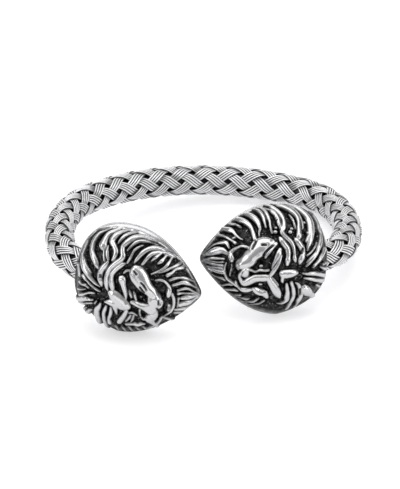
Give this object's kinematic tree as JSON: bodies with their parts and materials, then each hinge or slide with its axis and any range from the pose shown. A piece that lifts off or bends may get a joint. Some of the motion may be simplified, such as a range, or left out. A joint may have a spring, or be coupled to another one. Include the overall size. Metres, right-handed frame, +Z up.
{
  "type": "lion head cuff bracelet",
  "caption": "Open cuff bracelet: a braided silver tube bent round the wrist, with a cast lion's head in a full mane on each end.",
  "frame": {"origin": "centre of the bracelet's box, on the surface that it rests on", "axes": "+X from the left head's side to the right head's side, +Y to the back of the cuff, away from its opening, +Z up; the cuff lies on its side, so its wrist hollow runs almost along Z"},
  "size_m": [0.074, 0.0684, 0.0256],
  "materials": {
    "braided_silver": "drawn silver wire, satin, laid in flat ribbons and braided",
    "dark_core": "blackened metal, glossy, seen between the ribbons of the braid",
    "cast_silver": "cast silver, blackened in the grooves and polished bright on the ridges"
  },
  "bodies": {
    "root": {"woven_sleeve": "braided_silver", "core_rod": "dark_core", "left_lion_head": "cast_silver", "right_lion_head": "cast_silver"}
  },
  "joints": []
}
